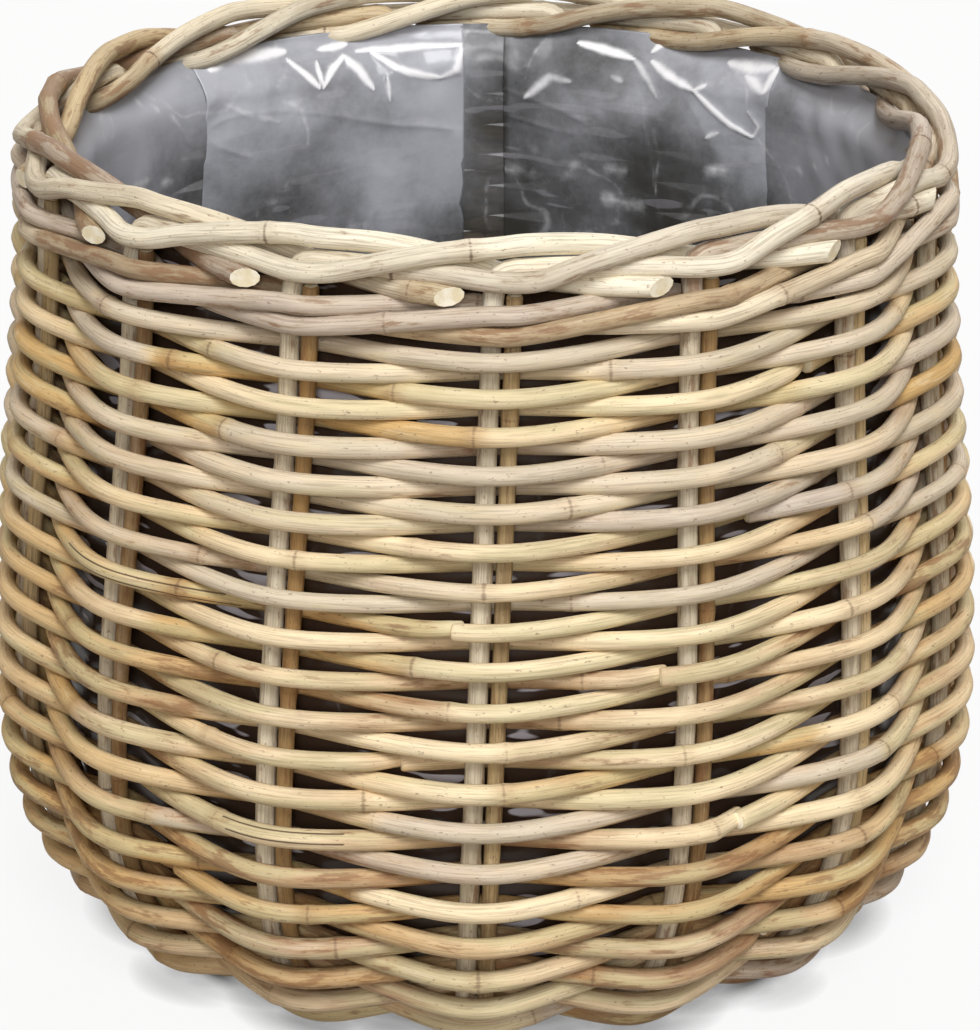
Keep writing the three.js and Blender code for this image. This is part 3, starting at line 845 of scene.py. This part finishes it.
def film_depth(bearing, s):
    """How far the film stands in from the weave, in millimetres."""
    u = bearing * 165
    ring = Vector((math.cos(bearing) * 1.9, math.sin(bearing) * 1.9, s / 90))
    belly = 2.0 + 2.0 * noise.noise(ring) + 0.9 * noise.noise(ring * 2.3)
    rise = max(0.0, min(1.0, (s - 150) / 120))
    bunch = max(0.0, 1 - (FILM_TOP - s) / 70) * (0.55 + 0.6 * noise.noise(ring * 1.7))
    crease = 0.9 * ridge(u + 0.35 * s, s * 0.8, 62, 3.1, 12) + 0.6 * ridge(u - 0.5 * s, s, 33, 8.4, 10)
    folds = max(0.0, bunch) * 5.0 * crumple(u * 1.3, s, 6.0)
    return max(0.0, belly) + rise * (crease + 1.4 * crumple(u, s, 2.0)) + folds


def film_place(bearing, s, depth):
    """A point of the film, which lies inside the weave and is tucked in under the border at its top."""
    r, z, out_r, out_z = station(min(s, WALL_END))
    tuck = float(smooth_step(s, WALL_END - 16, FILM_TOP))
    clear = crest(s) + weaver_radius(s) + LINER_GAP + 0.4
    inward = clear + depth * min(1.0, s / 60) * (1 - 0.75 * tuck) - 5.5 * tuck
    r, z = r - out_r * inward, z - out_z * inward + max(0.0, s - WALL_END)
    return r * math.sin(bearing), -r * math.cos(bearing), z


# White creases in the film, partly its own whitening and partly a painted highlight, and lower down short
# level strokes that are painted glints of light through the gaps of the wall behind: about half the width in
# mm, strength, and points as (degrees round, mm up).
CREASES_AND_GLINTS = [
    (4, 0.9, [(224.5, 314), (221.5, 317), (216, 316), (211, 315)]),
    (2.2, 0.9, [(211, 312), (208.5, 305), (207, 300)]),
    (1.8, 0.8, [(206.5, 300), (206.5, 310)]),
    (2, 0.9, [(206.5, 300), (204.5, 306), (202, 311)]),
    (3, 0.8, [(202, 311), (200, 305), (198, 297)]),
    (2.4, 0.9, [(197.5, 311), (194, 305), (190, 301), (187, 299)]),
    (2.4, 0.7, [(187, 299), (184.5, 302), (183.5, 311)]),
    (1.6, 0.6, [(195.5, 302), (195.5, 291)]),
    (2.2, 0.9, [(205.5, 314), (201, 315)]),
    (2, 0.85, [(200, 312), (193, 312), (183.5, 312)]),
    (3, 0.35, [(223.5, 299), (219, 293), (215, 289)]),
    (2.4, 0.9, [(166, 314), (161.5, 312), (157, 310)]),
    (2.5, 0.5, [(157, 310), (154, 304), (151.5, 297)]),
    (2, 0.9, [(154.5, 313), (153, 317), (151, 319)]),
    (2.6, 0.75, [(154, 310), (150, 306), (145.5, 302)]),
    (2, 0.7, [(145.5, 302), (143.5, 305)]),
    (2, 0.95, [(145.5, 302), (142, 296), (138.5, 290), (135, 286)]),
    (1.5, 0.5, [(135, 286), (134, 291), (136, 297)]),
    (4, 0.7, [(141.5, 314), (137, 314), (133.5, 316)]),
    (3, 0.8, [(133, 316), (133.5, 306)]),
    (4, 0.6, [(137.5, 311), (133.5, 306)]),
    (3.5, 0.55, [(174, 290), (171.5, 296), (170, 300), (166.5, 299)]),
    (2.5, 0.4, [(160, 303), (158, 301)]),
    (1.5, 0.25, [(154, 295), (152.5, 277), (151.5, 261), (150.5, 237)]),
    (4, 0.15, [(176, 313), (175.5, 292), (175, 274)]),
    (2, 0.5, [(142.5, 283), (140.5, 286)]),
    (3, 0.2, [(178, 313), (174.5, 312), (172.5, 309)]),
    (3, 0.5, [(244.5, 276), (238.5, 276)]),
    (2, 0.6, [(238, 263), (234.5, 262)]),
    (2, 0.5, [(122, 281), (117.5, 288)]),
    (2, 0.5, [(242, 313), (233, 298), (228.5, 286)]),
    # From here on: painted glints of light through the gaps of the wall behind.
    (3.4, 0.5, [(177, 256), (173.5, 258), (170.5, 257)]),
    (3.4, 0.45, [(176.5, 237), (173, 239), (169.5, 238)]),
    (3.6, 0.5, [(161.5, 247), (157.5, 250), (153, 250)]),
    (2.6, 0.35, [(161.5, 261), (158.5, 263), (156, 262)]),
    (3.2, 0.45, [(144.5, 266), (141, 270), (137.5, 271)]),
    (3, 0.3, [(142.5, 248), (139.5, 251), (136.5, 252)]),
    (3, 0.35, [(195, 238), (193, 239), (190.5, 237)]),
    (3.2, 0.4, [(188.5, 237), (186.5, 238), (184.5, 237)]),
    (2.6, 0.2, [(196.5, 256), (194, 257), (192, 255)]),
    (2.6, 0.2, [(203, 244), (200.5, 245), (198.5, 242)]),
    (2.6, 0.25, [(168, 237), (165.5, 239), (163.5, 238)]),
    (2.6, 0.4, [(237, 273), (234.5, 272), (231.5, 269)]),
    (2.4, 0.4, [(235.5, 259), (233.5, 259), (231.5, 256)]),
    (2.6, 0.45, [(127.5, 276), (124, 279), (120.5, 281)]),
    (2.4, 0.3, [(129, 262), (126.5, 265), (123.5, 266)]),
]


def film_haze(co, layer):
    """How milky the film is: most near its top and where it lies double, least low at the back."""
    bearing, z = abs(math.degrees(math.atan2(co[0], -co[1]))), co[2]
    cloud = noise.noise(Vector(co) * 0.013) + 0.5 * noise.noise(Vector(co) * 0.031)
    high, low = float(smooth_step(z, 215, 300)), 1 - float(smooth_step(z, 40, 110))
    mottle = float(smooth_step(z, 180, 230))
    single = layer < 0.1
    side = 1.05 * (1 - float(smooth_step(bearing, 100, 140))) if single else 0.0
    strip = float(smooth_step(bearing, 176.2, 177.2)) if single else 0.0
    return layer + (0.42 - 0.24 * strip) * high + 0.5 * low + side + (0.18 + 0.27 * mottle) * cloud


def crease_and_glint_at(co):
    """How strongly each point of the film lies on a crease, from 0 to 1; the glints among the creases are
    painted light.
    """
    bearing, z = np.degrees(np.arctan2(co[:, 0], -co[:, 1])) % 360, co[:, 2]
    most = np.zeros(len(co))
    for width, strength, points in CREASES_AND_GLINTS:
        for n, ((b0, z0), (b1, z1)) in enumerate(zip(points, points[1:])):
            along = np.array([(b1 - b0) * 2.85, z1 - z0])
            x, y = (bearing - b0) * 2.85, z - z0
            k = np.clip((x * along[0] + y * along[1]) / (along @ along), 0, 1)
            away = np.hypot(x - k * along[0], y - k * along[1])
            taper = 0.35 + 0.65 * np.sin(math.pi * (n + k) / (len(points) - 1)) ** 0.6
            most = np.maximum(most, strength * np.exp(-((away / (0.8 * width * taper)) ** 2)))
    return most


def film_grid(name, across, up, place, first, last):
    bpy.ops.object.select_all(action="DESELECT")
    bpy.ops.mesh.primitive_grid_add(x_subdivisions=across - 1, y_subdivisions=up - 1, size=2)
    film = bpy.context.object
    film.name = name
    co = np.array([place(i / (across - 1), k / (up - 1)) for k in range(up) for i in range(across)])
    # The crease attribute also carries the painted glints.
    crease = crease_and_glint_at(co)
    co[:, :2] *= (1 - crease / np.maximum(np.hypot(co[:, 0], co[:, 1]), 1))[:, None]
    film.data.vertices.foreach_set("co", (co * 0.001).ravel())
    layers = np.tile(np.linspace(first, last, across), up)
    haze = [film_haze(c, layer) for c, layer in zip(co, layers)]
    for label, values in (("crease", crease), ("haze", haze)):
        film.data.attributes.new(label, "FLOAT", "POINT").data.foreach_set("value", values)
    bpy.ops.object.mode_set(mode="EDIT")
    bpy.ops.mesh.select_all(action="SELECT")
    bpy.ops.mesh.remove_doubles(threshold=0.00001)
    bpy.ops.mesh.select_all(action="SELECT")
    bpy.ops.mesh.normals_make_consistent(inside=True)
    bpy.ops.object.mode_set(mode="OBJECT")
    bpy.ops.object.shade_smooth()
    return film


# The share of the bag's rows that lie on the base.
BASE_SHARE = 0.2


def bag_place(u, v):
    bearing = (u * 2 - 1) * math.pi
    if v < BASE_SHARE:
        s = 1 + (FOOT_LENGTH - 1) * v / BASE_SHARE
    else:
        s = FOOT_LENGTH + (FILM_TOP - FOOT_LENGTH) * (v - BASE_SHARE) / (1 - BASE_SHARE)
    return film_place(bearing, s, film_depth(math.pi if u in (0, 1) else bearing, s))


PANEL_FOOT = FOOT_LENGTH + 10
# The upper part of a panel, which is creased most, and the share of the panel's rows below it.
PANEL_HEAD, PANEL_SHARE = 45, 0.4
# The panels: milkiness at each upright edge, then the bearings of these edges in degrees and a seed.
PANELS = [((0.4, 0.38), (-133, -176.7, 4.0)), ((0.02, 0.36), (177.3, 132.5, 9.0))]


def panel_place(left, right, seed):
    """A second layer of film, drawn straight from one upright edge to the other."""

    def place(u, v):
        s = FILM_TOP - PANEL_HEAD + PANEL_HEAD * (v - PANEL_SHARE) / (1 - PANEL_SHARE)
        if v < PANEL_SHARE:
            s = PANEL_FOOT + (FILM_TOP - PANEL_HEAD - PANEL_FOOT) * v / PANEL_SHARE
        edges = [np.array(film_place(math.radians(a), s, 3.0)) for a in (left, right)]
        bearing = math.radians(left + (right - left) * u)
        held = np.array(film_place(bearing, s, film_depth(bearing, s) + 0.8))
        drawn = float(smooth_step(s, 190, 300) * (1 - 0.92 * smooth_step(s, WALL_END - 34, WALL_END - 4)))
        point = held + (edges[0] * (1 - u) + edges[1] * u - held) * drawn
        bunch = max(0.0, 1 - (FILM_TOP - s) / 62)
        wave = 1.1 * drawn * noise.noise(Vector((u * 2.1, v * 1.7, seed)))
        fold = bunch * 4.0 * crumple(u * 120, s, seed) * (0.7 + noise.noise(Vector((u * 4, v * 3, seed))))
        fold += 0.7 * drawn * ridge(u * 100 + v * 130, v * 150, 70, seed + 5, 12)
        tuck = 1 - float(smooth_step(s, WALL_END - 8, FILM_TOP))
        inward = -point / np.linalg.norm(point[:2]) * (wave + fold * tuck)
        return point + np.array([inward[0], inward[1], 0])

    return place


def lay_liner():
    bag = film_grid("liner_film_sheet", 240, 90, bag_place, 0.09, 0.09)
    panels = [film_grid("liner_panel", 124, 100, panel_place(*spec), *layers) for layers, spec in PANELS]
    bpy.ops.object.select_all(action="DESELECT")
    for film in (*panels, bag):
        film.select_set(True)
    bpy.context.view_layer.objects.active = bag
    bpy.ops.object.join()
    bag.data.materials.clear()
    bag.data.materials.append(film_look)
    bag.data.materials.append(film_outside_shade_look)
    # The film's thickness gives it an outer face with the dark finish, a painted shade.
    shell = bag.modifiers.new("thickness", "SOLIDIFY")
    shell.thickness, shell.offset, shell.material_offset, shell.use_rim = 0.0003, -1, 1, True
    bpy.ops.object.modifier_apply(modifier=shell.name)
    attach(bag, "root")
    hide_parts("liner")


lay_liner()

# Floor and light


# Suns: strength, and in degrees how soft, how far from overhead and how far round.
SUNS = {"key": (2.75, 26, 39, 7), "fill": (0.75, 12, 66, -2), "back": (1.0, 40, 52, 170)}


def seen_plainly(tree):
    """1 for what the camera sees, also in a gloss or through the film, and 0 for light on the basket."""
    path = Wire(tree).node("ShaderNodeLightPath")
    return path.maths("MAXIMUM", path.maths("MAXIMUM", path, path.output(3)), path.output(6))


def lay_floor():
    bpy.ops.object.select_all(action="DESELECT")
    bpy.ops.mesh.primitive_plane_add(size=14, location=(0, 0, 0))
    floor = bpy.context.object
    floor.name = "floor"
    bpy.ops.object.transform_apply(location=True, rotation=True, scale=True)
    paper, tree, shader = new_finish("white_paper")
    start, seen = Wire(tree), seen_plainly(tree)
    shader.inputs["Roughness"].default_value = 0.9
    shade = seen.blend((0.28, 0.25, 0.22, 1), (0.78, 0.79, 0.8, 1))
    tree.links.new(shade.socket, shader.inputs["Base Color"])
    near = start.node("ShaderNodeAmbientOcclusion", None, {"Distance": 0.014}, out=1)
    strength = near.maths("POWER", near, 1.4) * 0.98
    glow = start.node("ShaderNodeEmission", None, {"Color": (1, 1, 1, 1), "Strength": strength})
    sockets = {0: seen * 0.9, 1: Wire(tree, shader.outputs[0]), 2: glow}
    mixed = start.node("ShaderNodeMixShader", None, sockets)
    tree.links.new(mixed.socket, tree.nodes["Material Output"].inputs["Surface"])
    floor.data.materials.append(paper)


def light_studio():
    world = bpy.data.worlds.new("studio")
    world.use_nodes = True
    scene.world = world
    tree = world.node_tree
    sky, seen = tree.nodes["Background"], seen_plainly(tree)
    level = 0.16 + seen * 0.84
    tree.links.new(level.socket, sky.inputs["Strength"])
    shade = seen.blend((1.0, 0.79, 0.57, 1), (1, 1, 1, 1))
    tree.links.new(shade.socket, sky.inputs["Color"])
    for name, (energy, soft, tip, turn) in SUNS.items():
        sun = bpy.data.lights.new(name, "SUN")
        sun.energy = energy
        sun.angle = math.radians(soft)
        lamp = bpy.data.objects.new(name, sun)
        lamp.rotation_euler = (math.radians(tip), 0, math.radians(turn))
        scene.collection.objects.link(lamp)


lay_floor()
light_studio()
